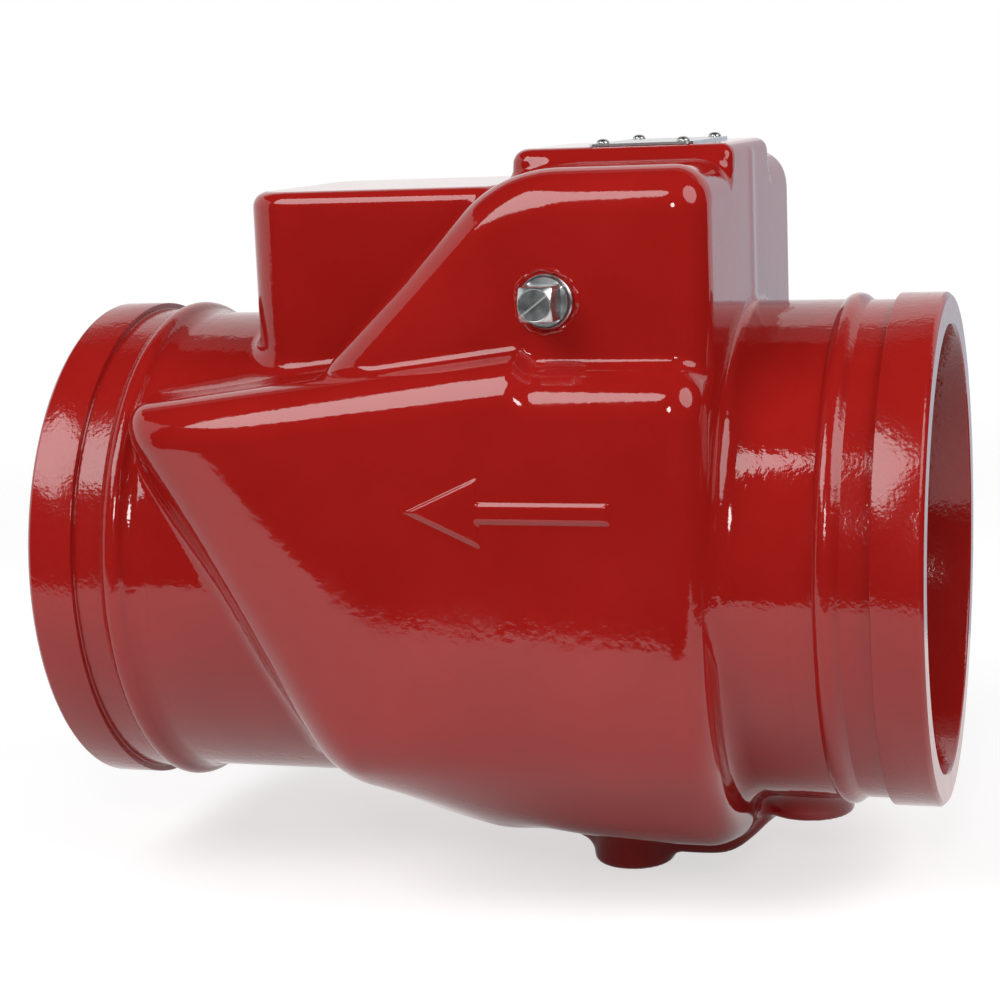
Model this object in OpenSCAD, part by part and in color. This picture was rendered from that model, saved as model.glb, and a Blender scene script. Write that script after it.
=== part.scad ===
// Swing non-return valve with grooved pipe ends, nominal 6 in pipe.
// The origin is the centre of the inlet face on the pipe axis. Flow runs towards -X.
// Distances called "from the inlet" run along -X from that face, and +Z is up.

/* [Pipe ends] */
// Outside diameter of both grooved ends
pipe_od = 168.3; // [166:0.1:170]
// Wall of both ends, from the waterway to the gasket land
pipe_wall = 10.65; // [9:0.05:12]
// Length from the inlet face to the outlet face
end_to_end = 292.1; // [286:0.1:320]
// Width of the gasket land outside each groove
land_w = 15.88; // [15:0.01:17]
// Width of each coupling groove
groove_w = 9.53; // [8.5:0.01:10.5]
// Depth of each coupling groove
groove_depth = 2.17; // [1.8:0.01:2.5]
// Chamfer on the outer edge of both end faces
face_chamfer = 1.2; // [0.5:0.1:2]
// Width of the cast shoulder behind each groove
shoulder_w = 8.5; // [6:0.5:10]
// Rise of both shoulders above the pipe size
shoulder_rise = 0.2; // [0:0.1:1]
// Length of the concave taper behind each shoulder
taper_l = 5; // [3:0.5:10]
// How far the outlet neck lies below the pipe size
outlet_neck_drop = 3.65; // [2:0.05:4.5]
// How far the inlet neck lies below the pipe size
inlet_neck_drop = 1.95; // [1:0.05:3.5]

/* [Clapper chamber] */
// Distance of the chamber's end wall from the inlet
chamber_from_inlet = 63.5; // [61:0.5:65]
// How far the chamber's flat sides stand outside the pipe size
flank_step = 9.85; // [8.5:0.05:13]
// Wall of the chamber, the cheeks and the top housing
wall = 9; // [7:0.5:9.5]
// Thickness of the end wall that carries the seat
seat_wall = 12; // [11:0.5:13]
// Depth of the ledge's peak below the hinge axis
ledge_drop = 15.3; // [14:0.1:17]
// Fall of the ledge from its peak to the outlet end
ledge_fall = 18; // [16:0.5:20]
// Distance of the ledge's peak from the inlet
ledge_peak_from_inlet = 123; // [116:1:130]
// Height of the ledge's step between its peak and the end wall
ledge_step_h = 4; // [3:0.5:5]
// Length of the short ramp that drops from the peak to the level ledge
ledge_ramp_l = 7.5; // [5:0.5:10]
// Edge radius along the ledge
ledge_edge_r = 16; // [13:0.5:18]
// Distance of the ledge's outlet end from the inlet
ledge_from_inlet = 253; // [250:0.5:256]
// Edge radius of the chamber's sloping flank edges
chamber_edge_r = 11; // [10:0.5:13]
// Distance of the middle of the flank's sloping edge from the inlet
flank_mid_from_inlet = 191; // [188:0.5:194]
// Depth of the middle of the flank's sloping edge
flank_mid_z = -23.5; // [-27:0.5:-20]
// Distance of the foot of the flank's sloping edge from the inlet
flank_foot_from_inlet = 165; // [162:0.5:168]
// Depth of the foot of the flank's sloping edge
flank_foot_z = -47; // [-50:0.5:-44]
// How far the belly's radius goes beyond the half width of the flat sides
belly_rise = 10; // [9:0.1:12]
// Edge radius of the belly at the end wall
belly_edge_r = 10; // [8:0.5:13]
// Distance from the inlet of the point where the belly leaves the outlet neck
belly_from_inlet = 201; // [197:0.5:205]

/* [Hinge cheeks] */
// Width of the ledge between the chamber's flat side and the cheek's face
ledge_w = 14; // [12:0.5:16]
// Height of the cheeks' top above the hinge axis
cheek_rise = 39.7; // [38:0.1:43]
// Radius of the cheeks' upright and top corners at the inlet side
cheek_corner_r = 14.5; // [10:0.5:16]
// Length of the flat top of the cheeks, from the end wall
cheek_top_l = 49; // [44:1:56]
// Radius of the cheeks' shoulder at the outlet side
cheek_shoulder_r = 40; // [34:1:44]
// Distance of the foot of the cheeks' slope from the inlet
cheek_foot_from_inlet = 199; // [194:1:203]
// Depth of the foot of the cheeks' slope below the ledge's outlet end
cheek_foot_drop = 3; // [0:0.5:5]

/* [Top housing] */
// Half width of the top housing over the outlet
housing_half_w = 48; // [46:0.5:52]
// Depth of the top housing's roof below the cheeks' top
housing_drop = 6; // [4:0.5:9]
// Distance of the top housing's outlet end from the inlet
housing_from_inlet = 224.5; // [222:0.5:230]
// Upright corner radius of the top housing
housing_corner_r = 15; // [12:0.5:18]
// Edge radius of the top housing's roof
housing_edge_r = 5; // [3:0.5:7]
// Half width of the nameplate pad
pad_half_w = 34; // [32:0.5:38]
// Height of the nameplate pad above the cheeks' top
pad_rise = 5; // [3:0.5:8]
// Length of the nameplate pad
pad_l = 73; // [68:0.5:78]
// Upright corner radius of the nameplate pad
pad_corner_r = 7; // [5:0.5:9]
// Edge radius round the top of the nameplate pad
pad_edge_r = 5; // [3:0.5:6]

/* [Bottom bosses] */
// Distance of the chamber drain boss from the inlet
drain_from_inlet = 109.5; // [106:0.5:113]
// Diameter of the chamber drain boss at its face
drain_boss_d = 25; // [22:0.5:28]
// Height of the chamber drain boss below the belly
drain_boss_h = 8; // [6:0.5:12]
// Distance of the inlet tapping boss from the inlet
tapping_from_inlet = 48; // [46:0.5:50]
// Diameter of the inlet tapping boss
tapping_boss_d = 30; // [27:0.5:34]
// Height of the inlet tapping boss below the inlet neck
tapping_boss_h = 8.8; // [6:0.2:12]
// Growth in diameter of both bosses over their height, from the mould's draft
boss_draft = 6; // [0:0.5:10]
// Thread bore of both bottom ports
port_bore_d = 15; // [13:0.1:16]
// Width of the rib between the belly and the tapping boss
rib_w = 12; // [8:1:16]

/* [Hinge] */
// Distance of the hinge axis from the inlet
hinge_from_inlet = 113; // [112:0.5:114]
// Height of the hinge axis above the edge of the closed clapper disc
hinge_rise = 16.3; // [15:0.1:18]
// Diameter of the hinge pin
pin_d = 12; // [10:0.5:12]
// Running clearance of the pin, on the radius
pin_clearance = 0.05; // [0.02:0.01:0.1]
// Gap between each end of the hinge pin and its plug
pin_end_gap = 3; // [1:0.5:5]
// Diameter of the pin bosses inside the cheeks
pin_boss_d = 26; // [24:0.5:30]
// Half gap between the pin bosses
pin_boss_gap = 40; // [38:0.5:44]
// Thread diameter of the hinge plugs
plug_d = 17.1; // [16.5:0.1:18]
// Threaded length of the hinge plugs in the cheeks
plug_l = 11; // [9:0.5:13]
// Height of the plug's round collar outside the cheek
plug_collar_h = 5.4; // [3:0.2:6]
// Width across the flats of the plug's square head
plug_head_w = 10.6; // [10:0.1:12.5]
// Height of the plug's square head
plug_head_h = 8.2; // [6:0.2:9]

/* [Seat and clapper] */
// Distance of the seat face from the inlet
seat_from_inlet = 79; // [78:0.5:80]
// Step from the waterway down to the seat ring's opening
seat_step = 8.5; // [7.5:0.1:10.5]
// Width of the seat ring's flange beyond its barrel
seat_flange_w = 4; // [3:0.1:5]
// Thickness of the seat ring's flange
seat_flange_t = 5; // [4:0.5:6]
// Wall of the seat ring's barrel
seat_ring_wall = 6.5; // [6:0.1:7.5]
// Section of the seal behind the seat ring's flange
seat_seal_t = 2.4; // [2:0.1:3]
// How far the clapper disc reaches beyond the seat's opening
disc_overlap = 9; // [8:0.1:10]
// Thickness of the clapper disc at its rim
disc_t = 8; // [7:0.5:9]
// Thickness of the rubber facing
facing_t = 4; // [3:0.2:4.4]
// Width of the rubber facing's ring
facing_w = 26; // [22:0.5:28]
// Depth of the facing's recess in the disc
facing_recess = 3; // [2:0.2:3.4]
// Gap round the facing's clamping plate, inside the seat's opening
retainer_gap = 6; // [4:0.5:9]
// Thickness of the facing's clamping plate
retainer_t = 3; // [2.4:0.2:4]
// Width of the clapper arm
arm_w = 24; // [20:1:28]
// Thickness of the clapper arm
arm_t = 12; // [10:0.5:14]
// Diameter of the arm's hub round the hinge pin
hub_d = 27; // [25:0.5:29]
// Half length of the arm's hub
hub_half_l = 17; // [14:0.5:18]
// Wall of the bushes in the hub
bush_wall = 2.5; // [2:0.1:3]
// Thread diameter of the clapper bolt
bolt_d = 12; // [10:0.5:14]
// Width across the flats of the clapper bolt and nut
bolt_hex = 19; // [17:0.5:22]

/* [Springs and name plate] */
// Wire diameter of the closing springs
spring_wire = 2.8; // [2:0.1:3.2]
// Whole turns of each closing spring
spring_turns = 4; // [3:1:4]
// Wall of the sleeves that carry the springs
sleeve_wall = 3; // [2:0.1:3.5]
// Distance of the name plate's middle from the end wall
plate_from_wall = 30.2; // [28:0.2:34]
// Length of the name plate along the pipe
plate_l = 34; // [30:0.5:38]
// Width of the name plate across the pipe
plate_w = 60; // [56:0.5:62]
// Thickness of the name plate
plate_t = 0.8; // [0.5:0.1:1.2]
// Head diameter of the drive screws
screw_head_d = 4.4; // [3.6:0.1:5]
// Inset of the drive screws from the plate's edges
screw_inset = 3.9; // [3:0.1:5]

/* [Hidden] */
fine = 96;
round_fn = 24;
enamel = "#98201c";
bronze = "#b08d57";
steel = "#b9bcc0";
rubber = "#232323";
iron = "#5b5f63";
plate_metal = "#c6c9cc";

pipe_r = pipe_od / 2;
waterway_r = pipe_r - pipe_wall;
groove_r = pipe_r - groove_depth;
outlet_neck_r = pipe_r - outlet_neck_drop;
inlet_neck_r = pipe_r - inlet_neck_drop;
chamber_half_w = pipe_r + flank_step;
seat_bore_d = 2 * (waterway_r - seat_step);
disc_d = seat_bore_d + 2 * disc_overlap;
retainer_d = seat_bore_d - 2 * retainer_gap;
hinge_x = -hinge_from_inlet;
hinge_z = disc_d / 2 + hinge_rise;
ledge_high_z = hinge_z - ledge_drop;
ledge_low_z = ledge_high_z - ledge_fall;
ledge_end_z = ledge_high_z - ledge_step_h;
cheek_top_z = hinge_z + cheek_rise;
cheek_foot_z = ledge_low_z - cheek_foot_drop;
housing_top_z = cheek_top_z - housing_drop;
pad_top_z = cheek_top_z + pad_rise;
belly_r = chamber_half_w + belly_rise;
cheek_half_w = chamber_half_w - ledge_w;
seat_x = -seat_from_inlet;
wall_x = -chamber_from_inlet;
drain_boss_z = belly_r + drain_boss_h;
tapping_boss_z = inlet_neck_r + tapping_boss_h;
boss_h = 30;
cheek_edge_flat = 0.5;
seat_land_w = 3;
seal_rim = 2.5;
washer_rim = 2;
port_past = 15;
port_plug_inset = 0.8;
port_socket_l = 6.5;
rib_lift = 1;
crest_turn = 60;
belly_side_inset = 3;
spot_face_extra = 2.4;
spot_face_t = 0.5;
pin_r = pin_d / 2;
pin_bore_r = pin_r + pin_clearance;
pin_l = 2 * (cheek_half_w - plug_l - pin_end_gap);
bush_r = pin_bore_r + bush_wall;
bush_flange_t = 1.5;
bush_flange_w = 2;
pin_chamfer = 1;
plug_corner_d = plug_head_w + 4;
plug_chamfer = 2;
hex_chamfer = 1;
bush_gap = 1;
end_play = 0.3;
spring_slack = 0.35;
sleeve_r = pin_bore_r + sleeve_wall;
seat_clearance = 0.5;
seat_spigot_w = 1;
seat_seal_w = seat_flange_w - seat_spigot_w;
seat_barrel_d = seat_bore_d + 2 * seat_ring_wall;
seat_flange_d = seat_barrel_d + 2 * seat_flange_w;
seat_lead = 3;
facing_x = seat_x - 0.3;
disc_lip = 3;
facing_d = disc_d - 2 * disc_lip;
facing_clearance = 0.3;
facing_bore_d = facing_d - 2 * facing_w;
rim_chamfer = 3;
bolt_clearance = 0.4;
bolt_hole_d = bolt_d + bolt_clearance;
thread_clearance = 0.1;
thread_d = bolt_d + thread_clearance;
disc_boss_d = 38;
disc_boss_h = 6;
disc_dome_h = 3;
disc_shoulder = 21;
disc_dome_d = disc_d - 2 * disc_shoulder;
retainer_chamfer = 1;
arm_eye_d = 36;
arm_rib_h = 4;
arm_rib_run = 10;
hub_inset = 0.5;
arm_back = facing_recess - facing_t - disc_t - disc_boss_h - arm_t;
bolt_head_h = 7.5;
bolt_seal_t = 1.5;
washer_t = 2.5;
nut_h = 10;
bolt_shank_l = retainer_t + bolt_seal_t - arm_back + washer_t + nut_h + 2;
spring_r = sleeve_r + spring_wire / 2 + spring_slack;
spring_roof_z = cheek_top_z - wall - hinge_z - spring_wire / 2 - spring_slack;
roof_leg_angle = 330;
lug_d = 7;
lug_inset = 15;
lug_half_l = pin_boss_gap - lug_inset;
lug_drop = 36;
lug_overlap = 4;
lug_leg = lug_drop + lug_overlap;
lug_x = spring_r + spring_wire / 2 + spring_slack + lug_d / 2;
spring_steps = 72;
port_plug_l = 11;
port_socket_w = 8;
plate_x = wall_x - plate_from_wall;
screw_d = 2.6;
screw_l = 7;
screw_end_gap = 1;
screw_rim_h = 0.3;
screw_dome_h = 1.3;

// Points of an arc of radius r about the centre c, from angle a to angle b.
function arc(c, r, a, b, steps = 8) =
    [for (i = [0:steps]) c + r * [cos(a + (b - a) * i / steps), sin(a + (b - a) * i / steps)]];

// Outer profile of one grooved end, turned about its axis and measured inwards from its face.
module grooved_end(neck_r, length) {
    groove_end = land_w + groove_w;
    top_r = pipe_r + shoulder_rise;
    crest = shoulder_w / 2;
    crest_c = [top_r - crest, groove_end + crest];
    taper_start = crest_c + crest * [cos(crest_turn), sin(crest_turn)];
    rotate_extrude($fn = fine)
        polygon(concat(
            [[0, 0], [pipe_r - face_chamfer, 0], [pipe_r, face_chamfer], [pipe_r, land_w],
                [groove_r, land_w], [groove_r, groove_end]],
            arc(crest_c, crest, -crest_turn, crest_turn, 6),
            [for (i = [1:5]) let (t = i / 5)
                taper_start + [(neck_r - taper_start[0]) * (1 - pow(1 - t, 2)), taper_l * t]],
            [[neck_r, length], [0, length]]));
}

// Pair of rounded corners of a block that spans both sides of the valve.
module corner(x, z, r, half_w) {
    for (side = [-1, 1])
        translate([x, side * (half_w - r), z])
            sphere(r = r, $fn = round_fn);
}

// Block right across the valve, with a round corner [x, z, r] at each corner of its side view
// and its long edges rounded by edge.
module rounded_block(corners, edge, half_w) {
    hull()
        for (c = corners, a = [0:30:90])
            translate([c[0], 0, c[1]])
                rotate([90, 0, 0])
                    cylinder(r = c[2] - edge * (1 - cos(a)), h = 2 * (half_w - edge * (1 - sin(a))),
                        center = true, $fn = 32);
}

// Lower half of the belly, turned about the pipe axis and clipped by the flat sides.
module belly(inset, half_w) {
    start = belly_from_inlet;
    span = start - chamber_from_inlet - belly_edge_r - chamber_edge_r;
    neck_r = outlet_neck_r - inset;
    rise = belly_r - inset - neck_r;
    clip_w = half_w - belly_side_inset;
    intersection() {
        translate([-start, 0, 0])
            rotate([0, 90, 0])
                rotate_extrude($fn = 60)
                    polygon(concat(
                        [for (t = [0, 0.07, 0.17, 0.3, 0.5, 0.75, 1])
                            [neck_r + rise * pow(1 - pow(1 - t, 2), 0.9), span * t]],
                        [[0, span], [0, 0]]));
        translate([-start - 1, -clip_w, -belly_r - 1])
            cube([span + 2, clip_w * 2, belly_r - 1]);
    }
}

// Clapper chamber, drawn inset by the wall for its hollow.
module chamber(inset = 0) {
    r = chamber_edge_r - inset / 2;
    top_r = ledge_edge_r - inset / 2;
    rim_edge = belly_edge_r - inset / 2;
    half_w = chamber_half_w - inset;
    end_x = wall_x - (inset > 0 ? seat_wall : 0);
    rim = belly_r - inset - rim_edge;
    rim_turn = asin((half_w - rim_edge) / rim);
    hull() {
        corner(inset + top_r - ledge_from_inlet, ledge_low_z - inset - top_r, top_r, half_w);
        corner(-ledge_peak_from_inlet, ledge_high_z - inset - top_r, top_r, half_w);
        corner(end_x - top_r, ledge_end_z - inset - top_r, top_r, half_w);
        corner(-flank_mid_from_inlet + inset / 2, flank_mid_z, r, half_w);
        corner(-flank_foot_from_inlet + inset / 2, flank_foot_z, r, half_w);
        belly(inset, half_w);
        for (i = [-4:4])
            rotate([rim_turn * i / 4, 0, 0])
                translate([end_x - rim_edge, 0, -rim])
                    sphere(r = rim_edge, $fn = round_fn);
    }
}

// What the step below the hinge takes off the chamber's ledge.
module ledge_step() {
    peak_x = -ledge_peak_from_inlet;
    over_z = ledge_high_z + 1;
    translate([0, chamber_half_w, 0])
        rotate([90, 0, 0])
            linear_extrude(chamber_half_w * 2)
                polygon([[peak_x, over_z], [peak_x, ledge_high_z], [peak_x + ledge_ramp_l, ledge_end_z],
                    [wall_x + 1, ledge_end_z], [wall_x + 1, over_z]]);
}

// Cheek block with the two flat faces that the hinge plugs screw into.
module cheeks(inset = 0) {
    r = cheek_corner_r - inset;
    end_x = wall_x - inset - r;
    foot_x = inset + r - cheek_foot_from_inlet;
    rounded_block([
        [end_x, cheek_top_z - inset - r, r],
        [end_x, 0, r],
        [wall_x - cheek_top_l, cheek_top_z - cheek_shoulder_r, cheek_shoulder_r - inset],
        [foot_x, cheek_foot_z, r],
        [foot_x, 0, r]], r - cheek_edge_flat, cheek_half_w - inset);
}

// Narrow housing over the outlet, where the arm and the bolt swing up.
module top_housing(inset = 0) {
    r = housing_corner_r - inset / 2;
    edge = housing_edge_r - inset / 3;
    half_w = housing_half_w - inset;
    top_z = housing_top_z - inset;
    hull()
        for (x = [inset + r - housing_from_inlet, hinge_x], side = [-1, 1], a = [0:30:90])
            translate([x, side * (half_w - r), 0])
                cylinder(r = r - edge * (1 - cos(a)), h = top_z - edge * (1 - sin(a)), $fn = 32);
}

// Raised pad that carries the name plate and runs down the end wall.
module name_pad() {
    edge = pad_edge_r;
    hull()
        for (x = [wall_x - pad_corner_r, wall_x - pad_l + pad_corner_r], side = [-1, 1], a = [0:45:90])
            translate([x, side * (pad_half_w - pad_corner_r), 0])
                cylinder(r = pad_corner_r - edge * (1 - cos(a)), h = pad_top_z - edge * (1 - sin(a)),
                    $fn = 32);
}

// Bottom bosses and the rib that runs from the belly to the inlet tapping.
module bottom_bosses() {
    edge_in = belly_edge_r * (1 - cos(45));
    edge = [wall_x - edge_in, edge_in - belly_r];
    foot_z = rib_lift - tapping_boss_z;
    root_z = rib_lift - inlet_neck_r;
    for (b = [[drain_from_inlet, drain_boss_d, drain_boss_z],
            [tapping_from_inlet, tapping_boss_d, tapping_boss_z]])
        translate([-b[0], 0, -b[2]])
            cylinder(d1 = b[1], d2 = b[1] + boss_draft, h = boss_h, $fn = 48);
    translate([0, rib_w / 2, 0])
        rotate([90, 0, 0])
            linear_extrude(rib_w)
                polygon([edge, [edge[0] + foot_z - edge[1], foot_z], [-tapping_from_inlet, foot_z],
                    [-tapping_from_inlet, root_z], [edge[0], root_z]]);
}

// Everything cast solid, before the cores are taken out.
module casting_outside() {
    rotate([0, -90, 0])
        grooved_end(inlet_neck_r, hinge_from_inlet);
    translate([-end_to_end, 0, 0])
        rotate([0, 90, 0])
            grooved_end(outlet_neck_r, end_to_end - hinge_from_inlet);
    difference() {
        chamber();
        ledge_step();
    }
    cheeks();
    top_housing();
    name_pad();
    bottom_bosses();
}

// The hollow that the core leaves: waterway, clapper chamber, cheeks and top housing.
module casting_core() {
    through = 1;
    step_top = seat_flange_d / 2 + seat_land_w;
    translate([-end_to_end - through, 0, 0])
        rotate([0, 90, 0])
            cylinder(r = waterway_r, h = end_to_end - hinge_from_inlet + through, $fn = fine);
    translate([wall_x, 0, 0])
        rotate([0, 90, 0])
            cylinder(r = waterway_r, h = chamber_from_inlet + through, $fn = fine);
    translate([seat_x, 0, 0])
        rotate([0, 90, 0])
            cylinder(d = seat_barrel_d, h = seat_from_inlet - chamber_from_inlet + through, $fn = fine);
    translate([seat_x, 0, 0])
        rotate([0, 90, 0])
            cylinder(d = seat_flange_d + 2 * seat_clearance, h = seat_flange_t, $fn = fine);
    chamber(wall);
    difference() {
        union() {
            cheeks(wall);
            top_housing(wall);
        }
        translate([wall_x - seat_wall, -chamber_half_w, -belly_r])
            cube([seat_wall * 2, chamber_half_w * 2, belly_r + step_top]);
    }
}

// Boss that carries one end of the hinge pin inside a cheek.
module pin_bosses() {
    for (side = [-1, 1])
        translate([hinge_x, side * (cheek_half_w - wall / 2), hinge_z])
            rotate([side * 90, 0, 0])
                cylinder(d = pin_boss_d, h = cheek_half_w - wall / 2 - pin_boss_gap, $fn = 48);
}

// Drillings for the hinge pin, its two plugs, the bottom ports and the plate's screws.
module drillings() {
    translate([hinge_x, 0, hinge_z])
        rotate([90, 0, 0]) {
            cylinder(r = pin_bore_r, h = cheek_half_w * 2 - 2, center = true, $fn = 48);
            for (side = [-1, 1]) {
                translate([0, 0, side * (cheek_half_w - plug_l / 2)])
                    cylinder(d = plug_d, h = plug_l, center = true, $fn = 48);
                translate([0, 0, side * cheek_half_w])
                    cylinder(d = plug_d + spot_face_extra, h = spot_face_t * 2, center = true, $fn = 48);
            }
        }
    for (b = [[drain_from_inlet, drain_boss_z], [tapping_from_inlet, tapping_boss_z]])
        translate([-b[0], 0, -b[1] - 1])
            cylinder(d = port_bore_d, h = b[1] - waterway_r + port_past, $fn = 48);
    screw_places()
        translate([0, 0, pad_top_z - screw_l])
            cylinder(d = screw_d, h = screw_l + 1, $fn = 24);
}

module body_casting() {
    color(enamel)
        difference() {
            union() {
                difference() {
                    casting_outside();
                    casting_core();
                }
                pin_bosses();
            }
            drillings();
        }
}

// Bronze seat ring, screwed into the end wall from the chamber.
module seat_ring() {
    barrel_l = seat_from_inlet - chamber_from_inlet;
    color(bronze)
        translate([seat_x, 0, 0])
            rotate([0, 90, 0])
                difference() {
                    union() {
                        cylinder(d = seat_flange_d, h = seat_flange_t - seat_seal_t, $fn = fine);
                        cylinder(d = seat_flange_d - 2 * seat_seal_w, h = seat_flange_t, $fn = fine);
                        cylinder(d = seat_barrel_d, h = barrel_l, $fn = fine);
                    }
                    translate([0, 0, -1])
                        cylinder(d = seat_bore_d, h = barrel_l + 2, $fn = fine);
                    translate([0, 0, barrel_l - seat_lead])
                        cylinder(d1 = seat_bore_d, d2 = seat_bore_d + 2 * seat_lead, h = seat_lead + 0.01,
                            $fn = fine);
                }
}

// Flat seal trapped behind the seat ring's flange.
module seat_seal() {
    color(rubber)
        translate([seat_x + seat_flange_t - seat_seal_t, 0, 0])
            rotate([0, 90, 0])
                difference() {
                    cylinder(d = seat_flange_d, h = seat_seal_t, $fn = fine);
                    translate([0, 0, -1])
                        cylinder(d = seat_flange_d - 2 * seat_seal_w, h = seat_seal_t + 2, $fn = fine);
                }
}

// Places a piece on the clapper's axis, with its own +Z pointing at the inlet.
module on_clapper_axis(from_facing) {
    translate([facing_x + from_facing, 0, 0])
        rotate([0, 90, 0])
            children();
}

// Cast disc with a recess for the facing and a boss for the arm.
module clapper_disc() {
    rim_h = disc_t - rim_chamfer;
    color(iron)
        on_clapper_axis(facing_recess - facing_t - disc_t)
            difference() {
                union() {
                    cylinder(d1 = disc_d - 2 * rim_chamfer, d2 = disc_d, h = rim_chamfer, $fn = fine);
                    translate([0, 0, rim_chamfer])
                        cylinder(d = disc_d, h = rim_h, $fn = fine);
                    translate([0, 0, -disc_boss_h])
                        cylinder(d = disc_boss_d, h = disc_boss_h + 1, $fn = 64);
                    translate([0, 0, -disc_dome_h])
                        cylinder(d1 = disc_boss_d + disc_boss_h, d2 = disc_dome_d, h = disc_dome_h + 0.01,
                            $fn = fine);
                }
                translate([0, 0, disc_t - facing_recess])
                    difference() {
                        cylinder(d = facing_d + 2 * facing_clearance, h = facing_recess + 1, $fn = fine);
                        translate([0, 0, -1])
                            cylinder(d = facing_bore_d, h = facing_recess + 3, $fn = fine);
                    }
                translate([0, 0, -disc_boss_h - 1])
                    cylinder(d = bolt_hole_d, h = disc_boss_h + disc_t + 2, $fn = 48);
            }
}

// Rubber ring that closes against the seat.
module clapper_facing() {
    color(rubber)
        on_clapper_axis(-facing_t)
            difference() {
                cylinder(d = facing_d, h = facing_t, $fn = fine);
                translate([0, 0, -1])
                    cylinder(d = facing_bore_d, h = facing_t + 2, $fn = fine);
            }
}

// Plate that clamps the inner edge of the facing.
module facing_retainer() {
    land_gap = facing_t - facing_recess;
    color(steel)
        on_clapper_axis(0)
            difference() {
                union() {
                    cylinder(d = retainer_d, h = retainer_t - retainer_chamfer, $fn = fine);
                    translate([0, 0, retainer_t - retainer_chamfer])
                        cylinder(d1 = retainer_d, d2 = retainer_d - 2 * retainer_chamfer,
                            h = retainer_chamfer, $fn = fine);
                    translate([0, 0, -land_gap])
                        cylinder(d = facing_bore_d, h = land_gap + 1, $fn = fine);
                }
                translate([0, 0, -land_gap - 1])
                    cylinder(d = bolt_hole_d, h = retainer_t + land_gap + 2, $fn = 48);
            }
}

// Cast arm: hub round the hinge pin, bar, eye behind the disc and two spring lugs.
module clapper_arm() {
    eye_x = facing_x + arm_back;
    bar_x = eye_x - hinge_x;
    hub_r = hub_d / 2;
    rib_foot_z = arm_eye_d / 2 + arm_rib_h - hinge_z;
    color(iron)
        difference() {
            union() {
                translate([hinge_x, 0, hinge_z])
                    rotate([90, 0, 0])
                        cylinder(d = hub_d, h = hub_half_l * 2, center = true, $fn = 48);
                translate([hinge_x, arm_w / 2, hinge_z])
                    rotate([90, 0, 0])
                        linear_extrude(arm_w)
                            polygon([[hub_inset - hub_r, 0], [hub_r - hub_inset, 0],
                                [bar_x + arm_t, -hub_r - arm_t / 2], [bar_x + arm_t, -hinge_z],
                                [bar_x, -hinge_z], [bar_x, rib_foot_z],
                                [bar_x - arm_rib_h, rib_foot_z + arm_rib_run]]);
                translate([eye_x, 0, 0])
                    rotate([0, 90, 0])
                        cylinder(d = arm_eye_d, h = arm_t, $fn = 64);
                translate([hinge_x + lug_x, 0, hinge_z - lug_drop])
                    rotate([90, 0, 0])
                        cylinder(d = lug_d, h = lug_half_l * 2, center = true, $fn = 32);
            }
            translate([hinge_x, 0, hinge_z])
                rotate([90, 0, 0])
                    cylinder(r = bush_r, h = hub_half_l * 2 + 2, center = true, $fn = 48);
            translate([eye_x - 1, 0, 0])
                rotate([0, 90, 0])
                    cylinder(d = bolt_hole_d, h = arm_t + 2, $fn = 48);
        }
}

// Two bronze bushes, one from each end of the hub.
module arm_bushes() {
    color(bronze)
        for (side = [-1, 1])
            translate([hinge_x, side * hub_half_l / 2, hinge_z])
                rotate([side * 90, 0, 0])
                    translate([0, 0, -hub_half_l / 2])
                        difference() {
                            union() {
                                cylinder(r = bush_r, h = hub_half_l - bush_gap, $fn = 48);
                                translate([0, 0, -bush_flange_t])
                                    cylinder(r = bush_r + bush_flange_w, h = bush_flange_t, $fn = 48);
                            }
                            translate([0, 0, -bush_flange_t - 1])
                                cylinder(r = pin_bore_r, h = hub_half_l + 4, $fn = 48);
                        }
}

// Hexagon head or nut, with its own chamfered face at the far end.
module hexagon(across, h) {
    corner_d = across / cos(30);
    intersection() {
        cylinder(d = corner_d, h = h, $fn = 6);
        union() {
            cylinder(d = corner_d + 1, h = h - hex_chamfer, $fn = 48);
            translate([0, 0, h - hex_chamfer])
                cylinder(d1 = corner_d, d2 = across, h = hex_chamfer, $fn = 48);
        }
    }
}

module clapper_bolt() {
    color(steel)
        on_clapper_axis(retainer_t + bolt_seal_t) {
            hexagon(bolt_hex, bolt_head_h);
            translate([0, 0, -bolt_shank_l])
                cylinder(d = bolt_d, h = bolt_shank_l + 0.5, $fn = 48);
        }
}

module bolt_seal() {
    color(rubber)
        on_clapper_axis(retainer_t)
            difference() {
                cylinder(d = bolt_hex + 2 * seal_rim, h = bolt_seal_t, $fn = 64);
                translate([0, 0, -1])
                    cylinder(d = bolt_hole_d, h = bolt_seal_t + 2, $fn = 48);
            }
}

module lock_washer() {
    color(steel)
        on_clapper_axis(arm_back - washer_t)
            difference() {
                cylinder(d = bolt_hex + 2 * washer_rim, h = washer_t, $fn = 64);
                translate([0, 0, -1])
                    cylinder(d = bolt_hole_d, h = washer_t + 2, $fn = 48);
            }
}

module clapper_nut() {
    color(steel)
        on_clapper_axis(arm_back - washer_t)
            rotate([180, 0, 0])
                difference() {
                    hexagon(bolt_hex, nut_h);
                    translate([0, 0, -1])
                        cylinder(d = thread_d, h = nut_h + 2, $fn = 48);
                }
}

// Plain pin that lies in both cheeks, held endwise by the two plugs.
module hinge_pin() {
    color(steel)
        translate([hinge_x, 0, hinge_z])
            rotate([90, 0, 0]) {
                cylinder(r = pin_r, h = pin_l - 2 * pin_chamfer, center = true, $fn = 48);
                for (side = [0, 1])
                    mirror([0, 0, side])
                        translate([0, 0, pin_l / 2 - pin_chamfer])
                            cylinder(r1 = pin_r, r2 = pin_r - pin_chamfer, h = pin_chamfer, $fn = 48);
            }
}

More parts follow.
